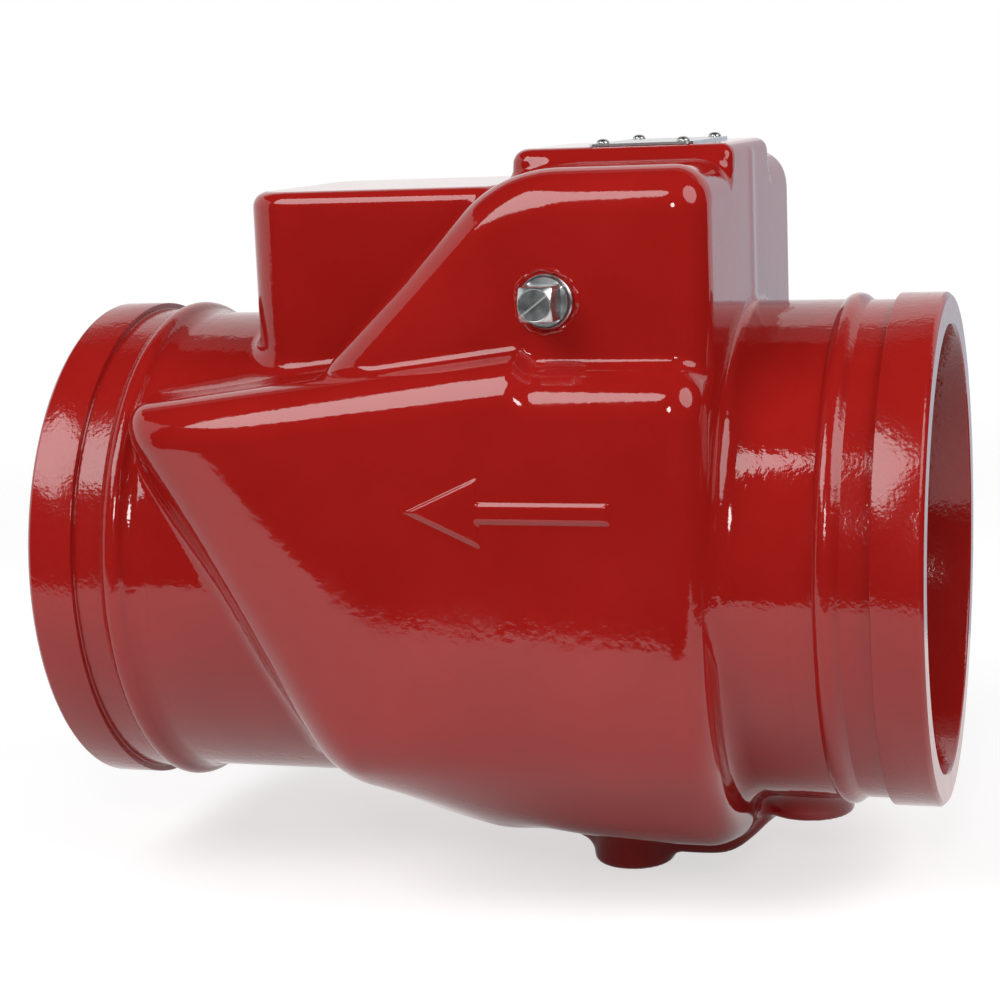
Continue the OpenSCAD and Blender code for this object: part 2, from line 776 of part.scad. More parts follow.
// Sleeves that keep the arm in the middle and carry the springs.
module spring_sleeves() {
    inner = hub_half_l + bush_flange_t + end_play;
    color(bronze)
        for (side = [-1, 1])
            translate([hinge_x, side * inner, hinge_z])
                rotate([-side * 90, 0, 0])
                    difference() {
                        cylinder(r = sleeve_r, h = pin_boss_gap - inner - end_play, $fn = 48);
                        translate([0, 0, -1])
                            cylinder(r = pin_bore_r, h = pin_boss_gap - inner + 2, $fn = 48);
                    }
}

// Centre line of a closing spring about the hinge axis: the leg under the cheek's roof,
// the coil from y_out to y_in, and the leg that bears on the arm's lug.
function spring_path(y_out, y_in) =
    let (
        start = roof_leg_angle + 360 * floor(spring_turns),
        lean = [sin(roof_leg_angle), 0, -cos(roof_leg_angle)],
        top = spring_r * [cos(roof_leg_angle), 0, sin(roof_leg_angle)],
        roof_leg = (spring_roof_z - top[2]) / -lean[2])
    concat(
        [for (t = [1, 0.5]) [0, y_out, 0] + top - lean * roof_leg * t],
        [for (i = [0:spring_steps]) let (a = start * (1 - i / spring_steps))
            [spring_r * cos(a), y_out + (y_in - y_out) * i / spring_steps, spring_r * sin(a)]],
        [for (t = [0.5, 1]) [spring_r, y_in, -t * lug_leg]]);

// Round bar of radius r swept along the points of a path that winds about the Y axis.
module round_bar(path, r, sides = 8) {
    last = len(path) - 1;
    rings = [for (i = [0:last])
        let (
            t0 = path[min(i + 1, last)] - path[max(i - 1, 0)],
            t = t0 / norm(t0),
            b0 = [0, 1, 0] - t * t[1],
            b = b0 / norm(b0),
            n = cross(b, t))
        [for (k = [0:sides - 1]) path[i] + r * (cos(360 * k / sides) * n + sin(360 * k / sides) * b)]];
    polyhedron(
        points = [for (ring = rings, point = ring) point],
        faces = concat(
            [[for (k = [0:sides - 1]) k]],
            [for (i = [0:last - 1], k = [0:sides - 1])
                let (a = i * sides + k, b = i * sides + (k + 1) % sides)
                [a, a + sides, b + sides, b]],
            [[for (k = [sides - 1:-1:0]) last * sides + k]]));
}

// Closing spring, round its sleeve between the hub and the pin boss.
module closing_spring(side) {
    y_in = hub_half_l + bush_flange_t + end_play + spring_wire / 2 + spring_slack;
    y_out = pin_boss_gap - end_play - spring_wire / 2 - spring_slack;
    color(steel)
        translate([hinge_x, 0, hinge_z])
            mirror([0, side < 0 ? 1 : 0, 0])
                round_bar(spring_path(y_out, y_in), spring_wire / 2);
}

// Plug with a threaded shank, a round collar and a square head.
module hinge_plug(side) {
    straight_h = plug_collar_h + plug_head_h - plug_chamfer;
    color(steel)
        translate([hinge_x, side * cheek_half_w, hinge_z])
            rotate([-side * 90, 0, 0]) {
                translate([0, 0, -plug_l])
                    cylinder(d = plug_d, h = plug_l + plug_collar_h, $fn = 48);
                intersection() {
                    translate([-plug_head_w / 2, -plug_head_w / 2, 0])
                        cube([plug_head_w, plug_head_w, plug_collar_h + plug_head_h]);
                    union() {
                        cylinder(d = plug_corner_d, h = straight_h, $fn = 48);
                        translate([0, 0, straight_h])
                            cylinder(d1 = plug_corner_d, d2 = plug_corner_d - 2 * plug_chamfer,
                                h = plug_chamfer, $fn = 48);
                    }
                }
            }
}

// Flush plug with a hexagon socket, for a bottom port.
module port_plug(from_inlet, z) {
    color(steel)
        translate([-from_inlet, 0, port_plug_inset - z])
            difference() {
                cylinder(d = port_bore_d, h = port_plug_l, $fn = 48);
                translate([0, 0, -1])
                    cylinder(d = port_socket_w / cos(30), h = port_socket_l + 1, $fn = 6);
            }
}

// Places of the four drive screws.
module screw_places() {
    for (sx = [-1, 1], sy = [-1, 1])
        translate([plate_x + sx * (plate_l / 2 - screw_inset), sy * (plate_w / 2 - screw_inset), 0])
            children();
}

module name_plate() {
    corner_r = 2;
    color(plate_metal)
        difference() {
            translate([plate_x, 0, pad_top_z])
                linear_extrude(plate_t)
                    union() {
                        square([plate_l, plate_w - 2 * corner_r], center = true);
                        square([plate_l - 2 * corner_r, plate_w], center = true);
                        for (sx = [-1, 1], sy = [-1, 1])
                            translate([sx * (plate_l / 2 - corner_r), sy * (plate_w / 2 - corner_r)])
                                circle(r = corner_r, $fn = 24);
                    }
            screw_places()
                translate([0, 0, pad_top_z - 1])
                    cylinder(d = screw_d, h = plate_t + 2, $fn = 24);
        }
}

// Four drive screws with domed heads.
module drive_screws() {
    color(steel)
        screw_places()
            translate([0, 0, pad_top_z]) {
                translate([0, 0, screw_end_gap - screw_l])
                    cylinder(d = screw_d, h = screw_l - screw_end_gap + plate_t, $fn = 24);
                translate([0, 0, plate_t])
                    rotate_extrude($fn = 24)
                        polygon(concat([[0, 0], [screw_head_d / 2, 0]],
                            [for (p = arc([0, 0], 1, 0, 90, 6))
                                [p[0] * screw_head_d / 2, screw_rim_h + p[1] * screw_dome_h]]));
            }
}

body_casting();
seat_ring();
seat_seal();
clapper_disc();
clapper_facing();
facing_retainer();
clapper_arm();
arm_bushes();
clapper_bolt();
bolt_seal();
lock_washer();
clapper_nut();
hinge_pin();
spring_sleeves();
closing_spring(-1);  // spring_near
closing_spring(1);  // spring_far
hinge_plug(-1);  // plug_near
hinge_plug(1);  // plug_far
port_plug(drain_from_inlet, drain_boss_z);  // drain_plug
port_plug(tapping_from_inlet, tapping_boss_z);  // tapping_plug
name_plate();
drive_screws();
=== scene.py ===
import math

import bpy
import numpy as np
from mathutils import Matrix, Vector


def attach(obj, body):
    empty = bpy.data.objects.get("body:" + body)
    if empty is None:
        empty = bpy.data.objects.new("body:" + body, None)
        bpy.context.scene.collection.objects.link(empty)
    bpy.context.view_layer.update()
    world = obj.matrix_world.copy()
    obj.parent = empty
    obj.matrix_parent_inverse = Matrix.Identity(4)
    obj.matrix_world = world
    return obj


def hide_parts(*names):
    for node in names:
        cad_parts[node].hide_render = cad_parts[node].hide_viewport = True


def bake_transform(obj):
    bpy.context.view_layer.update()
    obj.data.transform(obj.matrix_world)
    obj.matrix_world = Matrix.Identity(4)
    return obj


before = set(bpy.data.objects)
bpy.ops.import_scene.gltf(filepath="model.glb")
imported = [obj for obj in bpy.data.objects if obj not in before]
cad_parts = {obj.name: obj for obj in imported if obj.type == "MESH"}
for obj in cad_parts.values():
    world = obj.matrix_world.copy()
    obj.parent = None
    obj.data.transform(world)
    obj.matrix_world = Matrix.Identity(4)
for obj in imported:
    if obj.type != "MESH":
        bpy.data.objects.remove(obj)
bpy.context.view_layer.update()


# ---- Cast body --------------------------------------------------------------------------
# One ductile-iron sand casting: clapper chamber with flat flanks and a round belly, two
# cheeks for the hinge, the housing over the outlet and the nameplate pad. Cores leave it
# hollow, every inside corner has a cast fillet, and it is enamelled red inside and out.

end_to_end = 292.1
waterway_r = 73.5
outlet_neck_r = 80.5
inlet_neck_r = 82.2
cast_wall = 9.0
end_wall_s = 63.5
flank_y = 93.0
ledge_z = 71.0
ledge_step = 4.0
cheek_y = 80.0
cheek_top = 130.0
cheek_end_s = 199.0
housing_y = 48.0
housing_top = 124.0
housing_end_s = 224.5
pad_y = 34.0
pad_top = 135.0
pad_end_s = 136.5
hinge_s = 113.0
hinge_z = 90.3
pin_boss_r = 13.0
drain_s = 109.5
tapping_s = 48.0
port_r = 7.4
seat_bore_r = 71.3
belly_end_s = 201.0
grid_step = 1.6


def sharp_edge(a, b, r):
    """Outside corner of radius r between two faces that meet at about a right angle."""
    return np.minimum(-r, np.maximum(a, b)) + np.hypot(np.maximum(r + a, 0), np.maximum(r + b, 0))


def cast_fillet(a, b, r):
    """Inside corner of radius r where two cast blocks join."""
    return np.maximum(r, np.minimum(a, b)) - np.hypot(np.maximum(r - a, 0), np.maximum(r - b, 0))


def soft_edge(a, b, k):
    """Outside corner rubbed down over a width k, for faces that meet at any angle."""
    h = np.clip(1 - np.abs(a - b) / k, 0, 1)
    return np.maximum(a, b) + h * h * k / 4


def soft_join(a, b, k):
    """Inside corner filled over a width k."""
    h = np.clip(1 - np.abs(a - b) / k, 0, 1)
    return np.minimum(a, b) - h * h * k / 4


def ease(t):
    t = np.clip(t, 0, 1)
    return t * t * (3 - 2 * t)


def belly_radius(s):
    """The belly swells from the outlet neck's radius towards the end wall."""
    swell = (1 - (1 - np.clip((belly_end_s - s) / 116.5, 0, 1)) ** 2) ** 0.9
    return outlet_neck_r + 23.5 * swell - 0.9 * np.maximum(s - belly_end_s, 0)


def chamber_shape(s, y, z):
    """Flat flanks with a round belly, a stepped ledge on top and a front that leans forward."""
    across = np.abs(y)
    ledge = ledge_z + ledge_step * ease((s - 116) / 7.4) - 0.129 * np.maximum(s - 123.4, 0)
    front = (s - 220 - 0.61 * z - 0.5 * (94 - across)) / 1.27
    front = soft_edge(front, s - 260.5, 14)
    flank = across - flank_y + 0.00013 * np.maximum(front + 38, 0) ** 3
    below = np.minimum(z, 0)
    turn = np.degrees(np.arctan2(across, 1e-6 - below))
    belly_r = belly_radius(s)
    hollowed = 4.2 * ease((150 - s) / 25) * (1 - ease((turn - 14) / 30))
    belly = np.hypot(y, below) - (belly_r + (104 - belly_r) * ease((turn - 26) / 38) - hollowed)
    shape = soft_edge(flank, belly, 10)
    shape = sharp_edge(shape, (z - ledge) * 0.99, 16)
    return sharp_edge(shape, front, 8)


def cheek_shape(s, y, z):
    """Block round the hinge, with a top that slopes down towards the outlet."""
    shape = soft_edge(z - cheek_top, 0.7075 * s + 0.7067 * z - 183.2, 13)
    shape = sharp_edge(shape, s - cheek_end_s, 14)
    shape = sharp_edge(shape, np.abs(y) - cheek_y, 14)
    return np.maximum(shape, -z)


def housing_shape(s, y, z):
    """Housing that takes the clapper when it stands open."""
    shape = sharp_edge(np.abs(y) - housing_y, s - housing_end_s, 15)
    shape = sharp_edge(shape, z - housing_top, 5)
    return np.maximum(np.maximum(shape, -z), 90 - s)


def keel_shape(s, y, z):
    """Low rib under the belly that joins the two bottom bosses."""
    keel_r = belly_radius(s) + 3.6 * ease((160 - s) / 60)
    keel_r = keel_r - 3.2 * np.logaddexp(0, (73.2 - s) / 3)
    keel = sharp_edge(np.abs(y) - 6, np.hypot(y, z) - keel_r, 2.5)
    return np.maximum(np.maximum(keel, s - 162), np.maximum(50 - s, z + 60))


def outside_shape(s, y, z, chamber, cheeks, housing):
    """Chamber, cheeks and pad cut off by the end wall, then necks, housing, bosses and keel."""
    rho = np.hypot(y, z)
    wall = end_wall_s - s
    outside = cast_fillet(sharp_edge(chamber, wall, 11.5), sharp_edge(cheeks, wall, 11.5), 3)
    pad = sharp_edge(np.abs(y) - pad_y, s - pad_end_s, 7)
    pad = np.maximum(sharp_edge(pad, z - pad_top, 5), 30 - z)
    outside = np.maximum(cast_fillet(outside, sharp_edge(pad, wall, 4), 4), wall)
    # a faint cast seam runs up the middle of the end wall
    seam = ease((z - 76) / 8) * ease((134 - z) / 4) * ease((78 - s) / 10)
    outside = outside - 0.3 * np.exp(-(y / 4.2) ** 2) * seam
    outside = cast_fillet(outside, np.maximum(rho - outlet_neck_r, 110 - s), 4)
    root = 6 - 3.5 * ease((z - 45) / 25)
    outside = cast_fillet(outside, np.maximum(rho - inlet_neck_r, s - 110), root)
    outside = cast_fillet(outside, housing, 5)
    for boss_s, boss_r, foot, rim, root in (
            (drain_s, 13.7, -112, 2.4, 4.5), (tapping_s, 15, -91, 1.6, 7)):
        boss = np.hypot(s - boss_s, y) - boss_r - 0.1 * (z - foot)
        boss = np.maximum(sharp_edge(boss, foot - z, rim), z + 60)
        outside = cast_fillet(outside, boss, root)
    return cast_fillet(outside, keel_shape(s, y, z), 4)


def body_shape(s, y, z):
    """Field of the casting in mm: negative in the iron, s from the inlet face along the pipe."""
    rho = np.hypot(y, z)
    chamber = chamber_shape(s, y, z)
    cheeks = cheek_shape(s, y, z)
    housing = housing_shape(s, y, z)
    outside = outside_shape(s, y, z, chamber, cheeks, housing)
    hollow = soft_join(np.minimum(chamber, cheeks) + cast_wall, housing + cast_wall, 5)
    hollow = sharp_edge(hollow, 75.5 - s, 5)
    hollow = soft_join(hollow, np.maximum(rho - waterway_r, 100 - s), 3)
    hollow = np.minimum(hollow, np.maximum(rho - waterway_r, s - 64))
    hollow = np.minimum(hollow, np.maximum(rho - seat_bore_r, s - 90))
    for port_s in (drain_s, tapping_s):
        hollow = np.minimum(hollow, np.maximum(np.hypot(s - port_s, y) - port_r, z + 62))
    iron = np.maximum(outside, -hollow)
    across = np.abs(y)
    pin_boss = np.hypot(s - hinge_s, z - hinge_z) - pin_boss_r
    pin_boss = np.maximum(sharp_edge(pin_boss, 40 - across, 2), across - 76)
    return cast_fillet(iron, pin_boss, 4)


def skin_quads(inside, number):
    """A quad round every grid edge that leaves the iron, between the numbered cells there."""
    quads = []
    for axis in range(3):
        a = [slice(1, -1)] * 3
        b = [slice(1, -1)] * 3
        a[axis] = slice(0, -1)
        b[axis] = slice(1, None)
        first, second = inside[tuple(a)], inside[tuple(b)]
        crossing = np.argwhere(first != second)
        if not len(crossing):
            continue
        flip = first[tuple(crossing.T)]
        if axis == 1:
            flip = ~flip
        base = crossing + 1
        base[:, axis] -= 1
        u, v = [k for k in range(3) if k != axis]
        corners = []
        for du, dv in ((0, 0), (1, 0), (1, 1), (0, 1)):
            at = base.copy()
            at[:, u] -= du
            at[:, v] -= dv
            corners.append(number[tuple(at.T)])
        quad = np.stack(corners, 1)
        quad[flip] = quad[flip][:, ::-1]
        quads.append(quad)
    quads = np.concatenate(quads)
    return quads[(quads >= 0).all(1)]


def cast_skin(shape, low, high, step):
    """Skin of quads where the field is zero, pulled onto it, with normals from its slope."""
    axes = [np.arange(a, b + step, step, dtype=np.float32) for a, b in zip(low, high)]
    grid = np.meshgrid(*axes, indexing="ij", sparse=True)
    full = tuple(len(a) for a in axes)
    inside = np.broadcast_to(shape(*grid), full).astype(np.float32) < 0
    cell = tuple(n - 1 for n in full)
    corners_in = np.zeros(cell, np.int8)
    for i in (0, 1):
        for j in (0, 1):
            for k in (0, 1):
                corners_in += inside[i:i + cell[0], j:j + cell[1], k:k + cell[2]]
    mixed = (corners_in > 0) & (corners_in < 8)
    where = np.argwhere(mixed)
    number = np.full(cell, -1, np.int64)
    number[mixed] = np.arange(len(where))
    points = np.array([a[0] for a in axes]) + (where + 0.5) * step
    reach = 0.05
    pulls = 4
    for turn in range(pulls + 1):
        value = shape(*points.T)
        slope = np.stack([
            (shape(*(points + reach * e).T) - shape(*(points - reach * e).T)) / (2 * reach)
            for e in np.eye(3)], 1)
        steep = np.maximum((slope ** 2).sum(1), 0.05)
        if turn < pulls:
            pull = -(value / steep)[:, None] * slope
            points = points + np.clip(pull, -step * 0.5, step * 0.5)
    return points, skin_quads(inside, number), slope / np.sqrt(steep)[:, None]


def to_row(points):
    """From (distance from the inlet, y, z) in mm to the row frame in metres."""
    out = np.array(points, float) * 0.001
    out[:, 0] *= -1
    return out


def mesh_piece(name, points, faces, normals=None, sharp=None):
    """Smooth piece with the casting's own normals, or with edges sharper than an angle kept."""
    mesh = bpy.data.meshes.new(name)
    mesh.from_pydata([tuple(p) for p in points], [], [tuple(int(i) for i in f) for f in faces])
    mesh.update()
    piece = bpy.data.objects.new(name, mesh)
    bpy.context.scene.collection.objects.link(piece)
    mesh.shade_smooth()
    if normals is not None:
        mesh.normals_split_custom_set_from_vertices([tuple(n) for n in normals])
    elif sharp is not None:
        mesh.set_sharp_from_angle(angle=math.radians(sharp))
    return piece


def tree_of(material):
    """The material's node tree and its shader."""
    material.use_nodes = True
    return material.node_tree, material.node_tree.nodes["Principled BSDF"]


def new_finish(name, metallic=0.0):
    material = bpy.data.materials.new(name)
    tree, skin = tree_of(material)
    skin.inputs["Metallic"].default_value = metallic
    return material, tree, skin


def feed(tree, socket, value):
    """Links another node's output to a socket, or sets a plain value on it."""
    if isinstance(value, bpy.types.NodeSocket):
        tree.links.new(value, socket)
    else:
        socket.default_value = value


def lay_on(tree, skin, colour, dullness, bump):
    for name, value in (("Base Color", colour), ("Roughness", dullness), ("Normal", bump)):
        feed(tree, skin.inputs[name], value)


def object_place(tree):
    """Place on the object: a material has one node for it."""
    place = tree.nodes.get("Place") or tree.nodes.new("ShaderNodeTexCoord")
    place.name = "Place"
    return place.outputs["Object"]


def mapped(tree, shift, scale):
    """Place on the object, scaled and then shifted."""
    node = tree.nodes.new("ShaderNodeMapping")
    node.inputs["Location"].default_value = shift
    node.inputs["Scale"].default_value = scale
    tree.links.new(object_place(tree), node.inputs["Vector"])
    return node.outputs["Vector"]


def length_of(tree, vector):
    node = tree.nodes.new("ShaderNodeVectorMath")
    node.operation = "LENGTH"
    tree.links.new(vector, node.inputs[0])
    return node.outputs["Value"]


def off_pipe_axis(tree):
    """Distance from the pipe axis in metres."""
    return length_of(tree, mapped(tree, (0, 0, 0), (0, 1, 1)))


def reckon(tree, operation, *values):
    """One step of arithmetic with other nodes' outputs and plain numbers."""
    node = tree.nodes.new("ShaderNodeMath")
    node.operation = operation
    for socket, value in zip(node.inputs, values):
        feed(tree, socket, value)
    return node.outputs[0]


def spread(tree, source, low, high, to_low=0.0, to_high=1.0, smooth=False):
    """Spreads low...high of the source over to_low...to_high."""
    node = tree.nodes.new("ShaderNodeMapRange")
    if smooth:
        node.interpolation_type = "SMOOTHSTEP"
    for name, value in (("From Min", low), ("From Max", high), ("To Min", to_low),
                        ("To Max", to_high), ("Value", source)):
        feed(tree, node.inputs[name], value)
    return node.outputs["Result"]


def grain(tree, scale, detail, rough=0.5, at=None):
    """Cloudy pattern on the object, or over the vector that is given."""
    noise = tree.nodes.new("ShaderNodeTexNoise")
    for name, value in (("Scale", scale), ("Detail", detail), ("Roughness", rough)):
        noise.inputs[name].default_value = value
    tree.links.new(object_place(tree) if at is None else at, noise.inputs["Vector"])
    return noise.outputs["Fac"]


def two_tone(tree, source, low, low_colour, high, high_colour):
    """Colour that goes from one tone at low to the other at high."""
    node = tree.nodes.new("ShaderNodeValToRGB")
    stops = ((low, low_colour), (high, high_colour))
    for element, (at, colour) in zip(node.color_ramp.elements, stops):
        element.position = at
        element.color = (*colour, 1)
    tree.links.new(source, node.inputs["Fac"])
    return node.outputs["Color"]


def raised(tree, height, strength, distance, under=None):
    """Bump from a height, over the bump that lies under it."""
    node = tree.nodes.new("ShaderNodeBump")
    node.inputs["Strength"].default_value = strength
    node.inputs["Distance"].default_value = distance
    tree.links.new(height, node.inputs["Height"])
    if under is not None:
        tree.links.new(under, node.inputs["Normal"])
    return node.outputs["Normal"]


def red_enamel():
    """Thick glossy enamel over iron: orange peel and soft lumps, rougher where it was turned."""
    material, tree, skin = new_finish("red_enamel")
    tone = two_tone(tree, grain(tree, 28, 3),
                    0.3, (0.29, 0.0085, 0.0065), 0.7, (0.325, 0.0105, 0.0085))
    along = tree.nodes.new("ShaderNodeSeparateXYZ")
    tree.links.new(object_place(tree), along.inputs["Vector"])
    from_middle = reckon(tree, "ADD", along.outputs["X"], end_to_end / 2000)
    from_middle = reckon(tree, "ABSOLUTE", from_middle)
    turned_part = spread(tree, from_middle, 0.106, 0.121, smooth=True)
    smeared = spread(tree, grain(tree, 90, 4), 0.35, 0.75, 0.04, 0.1)
    dull = reckon(tree, "MULTIPLY_ADD", turned_part, 0.07, smeared)
    skin.inputs["IOR"].default_value = 1.5
    lumps = raised(tree, grain(tree, 95, 2), 0.09, 0.00018)
    peel = raised(tree, grain(tree, 360, 2, 0.45), 0.24, 0.00014, lumps)
    on_neck = spread(tree, off_pipe_axis(tree), 0.0875, 0.0845)
    wrinkles = reckon(tree, "MULTIPLY", grain(tree, 210, 3, 0.55), on_neck)
    crumpled = raised(tree, wrinkles, 0.4, 0.0003, peel)
    pebbles = reckon(tree, "MULTIPLY", grain(tree, 750, 1, 0.4), turned_part)
    lay_on(tree, skin, tone, dull, raised(tree, pebbles, 0.4, 0.00016, crumpled))
    return material


enamel = red_enamel()
cast_points, cast_quads, cast_normals = cast_skin(
    body_shape, (29.0, -97.0, -116.0), (263.0, 97.0, 139.0), grid_step)
cast_normals[:, 0] *= -1
cast_body = mesh_piece("cast_body", to_row(cast_points), cast_quads, cast_normals)
cast_body.data.materials.append(enamel)
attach(cast_body, "valve_body")
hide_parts("body_casting")


# ---- Flow arrows ------------------------------------------------------------------------
# A plain raised arrow is cast on each flank, a little under a millimetre proud, and points
# the way the water goes. Thick enamel rounds its edges.

arrow_s = 125.0
arrow_z = 27.0
arrow_half_length = 35.0
arrow_half_width = 13.2
arrow_proud = 0.85
arrow_sunk = 0.25


def arrow_outline(u, w):
    """Signed distance in mm from a plain arrow, u along the flow and w across it."""
    w = np.abs(w)
    shaft = np.maximum(np.maximum(-33 - u, u - 12), w - 3.6)
    head = np.maximum(8 - u, (w * 25 - (33 - u) * 11.5) / 27.5)
    return np.minimum(shaft, head)


def flank_relief(side, step=0.6):
    """Skin of the arrow, laid on the flank; its edge is sunk a little under the enamel."""
    along = np.arange(-arrow_half_length, arrow_half_length + 0.01, step)
    up = np.arange(-arrow_half_width, arrow_half_width + 0.01, step)
    u, w = np.meshgrid(along, up, indexing="ij")
    low, high = np.full(u.shape, 85.0), np.full(u.shape, 97.0)
    for _ in range(22):
        middle = (low + high) / 2
        inside = body_shape(u + arrow_s, middle, w + arrow_z) < 0
        low, high = np.where(inside, middle, low), np.where(inside, high, middle)
    depth = -arrow_outline(u, w)
    y = low - arrow_sunk + (arrow_proud + arrow_sunk) * ease((depth + 0.5) / 2.2)
    points = np.stack([u + arrow_s, side * y, w + arrow_z], axis=-1).reshape(-1, 3)
    count = len(up)
    keep = depth > -0.9
    faces = []
    for i in range(len(along) - 1):
        for j in range(count - 1):
            if keep[i:i + 2, j:j + 2].any():
                here, ahead = i * count + j, (i + 1) * count + j
                face = (here, ahead, ahead + 1, here + 1)
                faces.append(face if side > 0 else face[::-1])
    used = sorted({k for face in faces for k in face})
    place = {k: n for n, k in enumerate(used)}
    return points[used], [tuple(place[k] for k in face) for face in faces]


for side_name, side in (("near", -1), ("far", 1)):
    relief, relief_faces = flank_relief(side)
    arrow = mesh_piece("flow_arrow_" + side_name, to_row(relief), relief_faces)
    thick = arrow.modifiers.new("thick", "SOLIDIFY")
    thick.thickness = 0.0008
    thick.offset = -1
    arrow.data.materials.append(enamel)
    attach(arrow, "valve_body")


# ---- Grooved ends -----------------------------------------------------------------------
# Turned on a lathe after casting: the gasket land, the coupling groove and the chamfered
# face are crisp, and the shoulder and neck behind them keep the cast shape. Both are
# painted over with the body.

pipe_r = 84.15
land_w = 15.88
groove_end = 25.41
groove_r = 81.98
shoulder_w = 8.5


def ring_faces(turns, count):
    """Faces of a closed ring of so many turns, with so many points in its section."""
    faces = []
    for i in range(turns):
        j = (i + 1) % turns
        for k in range(count):
            m = (k + 1) % count
            faces.append((i * count + k, i * count + m, j * count + m, j * count + k))
    return faces


def turned(profile, steps=180):
    """Closed ring from (distance, radius) points about the pipe axis."""
    around = np.linspace(0, 2 * math.pi, steps, endpoint=False)
    points = [(d, r * math.cos(a), r * math.sin(a)) for a in around for d, r in profile]
    return np.array(points), ring_faces(steps, len(profile))


def end_profile(neck_r):
    """Section of one end: bore and face, land, groove, shoulder, neck, and back inside."""
    crest = shoulder_w / 2
    turns = [math.radians(a + 30) for a in range(0, 121, 12)]
    shoulder = [
        (groove_end + crest - crest * math.cos(a), pipe_r + 0.2 - crest + crest * math.sin(a))
        for a in turns]
    low = shoulder[-1]
    skin_r = neck_r + 0.04
    taper = [
        (low[0] + 5 * t, low[1] + (skin_r - low[1]) * (1 - (1 - t) ** 2))
        for t in (0.2, 0.4, 0.6, 0.8, 1.0)]
    neck = taper[-1][0]
    bore_r = waterway_r - 0.04
    return [
        (36, bore_r), (1.0, bore_r), (0.35, waterway_r + 0.25),
        (0, waterway_r + 0.9), (0, pipe_r - 1.5), (0.25, pipe_r - 1.05), (1.05, pipe_r - 0.25),
        (1.5, pipe_r), (land_w - 0.4, pipe_r), (land_w - 0.12, pipe_r - 0.12),
        (land_w, pipe_r - 0.4), (land_w, groove_r + 0.3), (land_w + 0.3, groove_r),
        (groove_end - 0.2, groove_r)] + shoulder[1:] + taper + [
        (neck + 2.5, skin_r), (neck + 3.5, neck_r - 1.2),
        (neck + 3.5, waterway_r + 2), (36, waterway_r + 1)]


for end_name, neck_r, from_inlet in (
        ("inlet_grooved_end", inlet_neck_r, True), ("outlet_grooved_end", outlet_neck_r, False)):
    end_points, end_faces = turned(end_profile(neck_r))
    if not from_inlet:
        end_points[:, 0] = end_to_end - end_points[:, 0]
        end_faces = [f[::-1] for f in end_faces]
    end_ring = mesh_piece(end_name, to_row(end_points), end_faces, sharp=28)
    end_ring.data.materials.append(enamel)
    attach(end_ring, "valve_body")


# ---- Seat ring and its seal -------------------------------------------------------------
# The ring is turned bronze, screwed into the end wall from inside the chamber. A flat
# black seal is trapped behind its flange.


def turned_bronze():
    material, tree, skin = new_finish("turned_bronze", metallic=1.0)
    tone = two_tone(tree, grain(tree, 60, 4),
                    0.3, (0.42, 0.235, 0.095), 0.7, (0.6, 0.38, 0.17))
    marks = grain(tree, 900, 2)
    dull = spread(tree, marks, 0, 1, 0.22, 0.4)
    lay_on(tree, skin, tone, dull, raised(tree, marks, 0.25, 0.00005))
    return material


def moulded_rubber():
    material, tree, skin = new_finish("moulded_rubber")
    tone = two_tone(tree, grain(tree, 120, 5),
                    0.35, (0.012, 0.012, 0.012), 0.75, (0.032, 0.032, 0.033))
    lay_on(tree, skin, tone, 0.62, raised(tree, grain(tree, 1400, 2), 0.3, 0.00005))
    return material


def dress(node, material):
    """Gives a carried-over node its finish."""
    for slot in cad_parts[node].material_slots:
        slot.material = material
    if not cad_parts[node].material_slots:
        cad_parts[node].data.materials.append(material)


bronze = turned_bronze()
rubber = moulded_rubber()
dress("seat_ring", bronze)
dress("seat_seal", rubber)


# ---- Clapper: disc, facing, retainer ----------------------------------------------------
# The disc is cast iron with a thin dark coating, turned only in the recess that holds the
# rubber facing. A turned stainless plate clamps the facing's inner edge.


def coated_iron():
    material, tree, skin = new_finish("coated_iron")
    tone = two_tone(tree, grain(tree, 45, 5),
                    0.3, (0.035, 0.036, 0.04), 0.72, (0.075, 0.076, 0.08))
    lay_on(tree, skin, tone, 0.42, raised(tree, grain(tree, 420, 3), 0.5, 0.0003))
    return material


def lathe_rings(tree, radius, scale):
    """Tool marks in rings about an axis, from the distance to it."""
    rings = tree.nodes.new("ShaderNodeTexNoise")
    rings.noise_dimensions = "1D"
    rings.inputs["Scale"].default_value = scale
    rings.inputs["Detail"].default_value = 2
    tree.links.new(radius, rings.inputs["W"])
    return rings.outputs["Fac"]


def turned_stainless(name, ringed):
    """Stainless with tool marks, in rings about the pipe axis where it was faced on a lathe."""
    material, tree, skin = new_finish(name, metallic=1.0)
    wipe = grain(tree, 55, 3)
    tone = two_tone(tree, wipe, 0.3, (0.52, 0.52, 0.515), 0.7, (0.6, 0.6, 0.59))
    if ringed:
        tool = lathe_rings(tree, off_pipe_axis(tree), 1900)
    else:
        tool = grain(tree, 1200, 2)
    dull = spread(tree, wipe, 0, 1, 0.25, 0.31)
    lay_on(tree, skin, tone, dull, raised(tree, tool, 0.2, 0.00004))
    return material


iron = coated_iron()
stainless = turned_stainless("turned_stainless", False)
faced_stainless = turned_stainless("faced_stainless", True)
dress("clapper_disc", iron)
dress("clapper_facing", rubber)
dress("facing_retainer", faced_stainless)


# ---- Clapper arm and bushes -------------------------------------------------------------
# The arm is cast with its hub, its eye and the two spring lugs in one. Two flanged bronze
# bushes are pressed into the hub from its ends.

dress("clapper_arm", iron)
dress("arm_bushes", bronze)


# ---- Clapper bolt, seal, washer and nut -------------------------------------------------
# A stainless bolt goes through retainer, disc and arm from the inlet side, with a seal
# under its head, and a lock washer and nut behind the arm.

